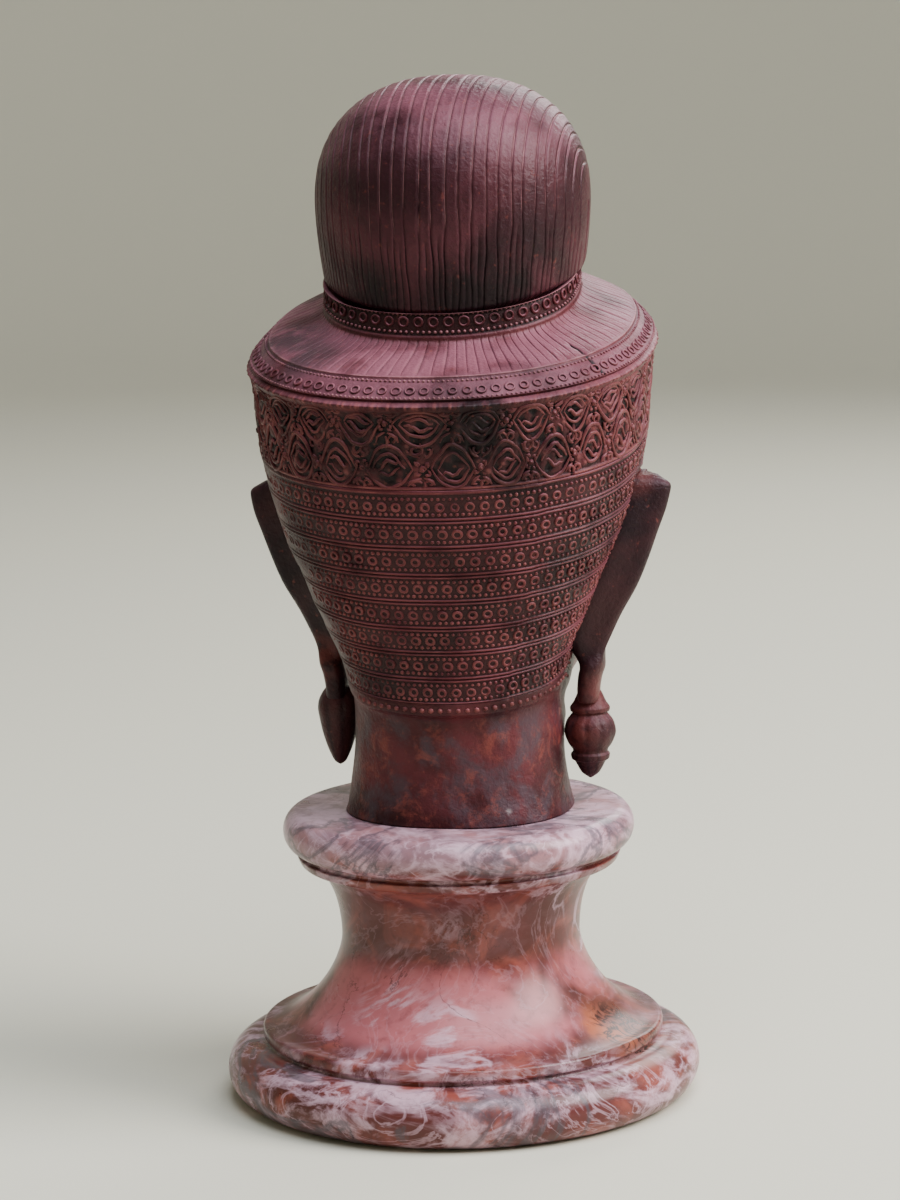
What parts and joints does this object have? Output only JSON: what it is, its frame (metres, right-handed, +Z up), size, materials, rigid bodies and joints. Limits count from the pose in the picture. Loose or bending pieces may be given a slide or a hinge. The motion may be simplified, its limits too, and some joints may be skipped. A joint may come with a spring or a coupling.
{
  "type": "bronze buddha head on marble pedestal",
  "caption": "Cast bronze head with a combed topknot, ornamented crown bands and long ears, standing on a turned marble pedestal.",
  "frame": {"origin": "centre of the pedestal's round underside", "axes": "+Z up along the pedestal's axis, -Y the way the face looks, +X to the figure's left"},
  "size_m": [0.176, 0.176, 0.3755],
  "materials": {
    "marble": "polished red marble with pale and grey veins",
    "bronze": "cast bronze with a dark red-brown patina, worn lighter on the edges"
  },
  "bodies": {
    "root": {"pedestal": "marble", "head": "bronze"}
  },
  "joints": []
}
